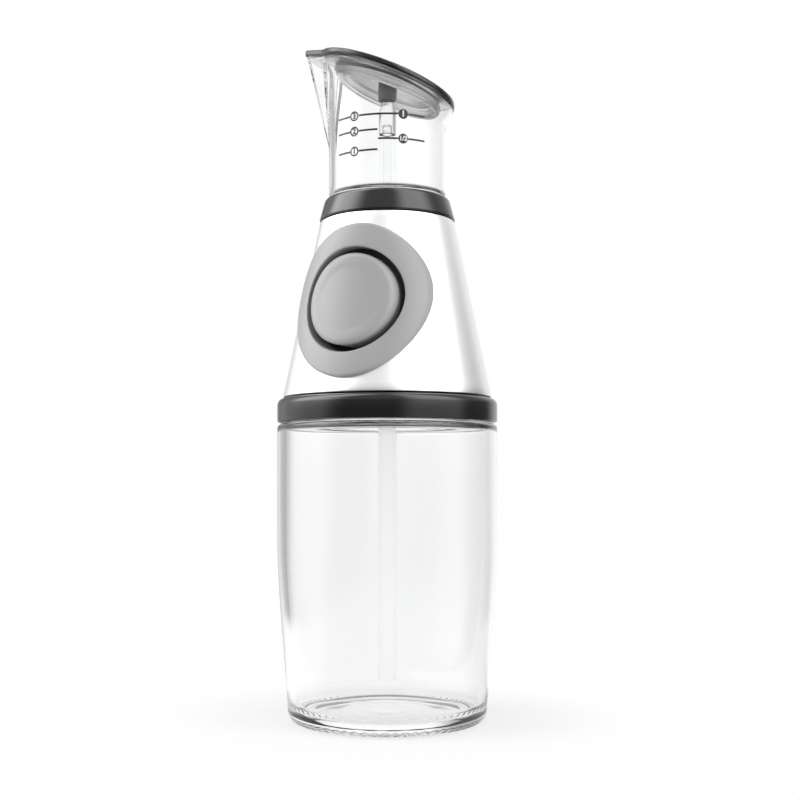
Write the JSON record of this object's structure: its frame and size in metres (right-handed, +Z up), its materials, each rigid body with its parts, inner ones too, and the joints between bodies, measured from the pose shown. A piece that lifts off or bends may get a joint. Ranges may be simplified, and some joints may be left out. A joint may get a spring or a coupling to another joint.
{
  "type": "oil dispenser bottle",
  "caption": "Glass oil bottle with a screw-on pump head: a side push button pumps oil up into a clear measuring cup with a pouring spout under a slanted smoked lid.",
  "frame": {"origin": "centre of the bottle's base, on the surface that it stands on", "axes": "+Z up along the bottle's axis, the button faces -Y"},
  "size_m": [0.07, 0.07, 0.215],
  "materials": {
    "clear_glass": "clear polished glass",
    "clear_plastic": "clear polished plastic",
    "smoked_plastic": "smoked grey see-through plastic",
    "black_gloss": "glossy black",
    "satin_steel": "satin, almost white",
    "grey_plastic": "fine satin grey",
    "inner_plastic": "plain moulded",
    "white_tube": "translucent white",
    "dark_silicone": "soft black",
    "pale_silicone": "translucent",
    "screw_steel": "bright steel"
  },
  "bodies": {
    "bottle": {"glass_bottle": "clear_glass"},
    "neck_seal": {"neck_gasket": "pale_silicone"},
    "head": {"collar_ring": "black_gloss", "housing_shell": "satin_steel", "upper_ring": "black_gloss", "chassis": "inner_plastic", "base_screw_1": "screw_steel", "base_screw_2": "screw_steel", "base_screw_3": "screw_steel", "ring_screw_1": "screw_steel", "ring_screw_2": "screw_steel", "vent_valve": "pale_silicone", "pump_barrel": "inner_plastic", "barrel_cap": "inner_plastic", "return_spring": "screw_steel", "bezel": "grey_plastic", "button_guide": "black_gloss", "button_boot": "dark_silicone", "inlet_seat": "inner_plastic", "inlet_cage": "inner_plastic", "outlet_seat": "inner_plastic", "outlet_cage": "inner_plastic", "inlet_oring": "dark_silicone", "tube_sleeve": "inner_plastic", "dip_tube": "white_tube"},
    "button": {"button_cap": "grey_plastic", "plunger": "inner_plastic", "piston_seal": "dark_silicone"},
    "inlet_valve_ball": {"inlet_ball": "screw_steel"},
    "outlet_valve_ball": {"outlet_ball": "screw_steel"},
    "cup": {"measuring_cup": "clear_plastic", "cup_oring": "pale_silicone", "outlet_column": "clear_plastic", "outlet_oring": "pale_silicone"},
    "lid": {"lid": "smoked_plastic", "lid_gasket": "pale_silicone", "lid_stopper": "dark_silicone"}
  },
  "joints": [
    {"name": "head_rise", "type": "slide", "parent": "bottle", "child": "neck_seal", "axis": [0, 0, 1], "range_m": [0, 0.0054]},
    {"name": "head_turn", "type": "hinge", "parent": "neck_seal", "child": "head", "pos_m": [0, 0, 0.1], "axis": [0, 0, 1], "range_deg": [0, 432.01]},
    {"name": "button_press", "type": "slide", "parent": "head", "child": "button", "axis": [0, 1, 0], "range_m": [0, 0.005], "stiffness_N_per_m": 800, "springref_m": -0.004, "deforming": ["return_spring", "button_boot"]},
    {"name": "inlet_ball_lift", "type": "slide", "parent": "head", "child": "inlet_valve_ball", "axis": [0, 0, 1], "range_m": [0, 0.0014]},
    {"name": "outlet_ball_lift", "type": "slide", "parent": "head", "child": "outlet_valve_ball", "axis": [0, 0, 1], "range_m": [0, 0.0014]},
    {"name": "cup_turn", "type": "hinge", "parent": "head", "child": "cup", "pos_m": [0, 0, 0.165], "axis": [0, 0, 1], "range_deg": [0, 60]},
    {"name": "lid_lift", "type": "slide", "parent": "cup", "child": "lid", "axis": [0, 0, 1], "range_m": [0, 0.03]}
  ],
  "couplings": [
    {"joint": "head_turn", "follows": "head_rise", "rad_per_m": 1396.3}
  ]
}
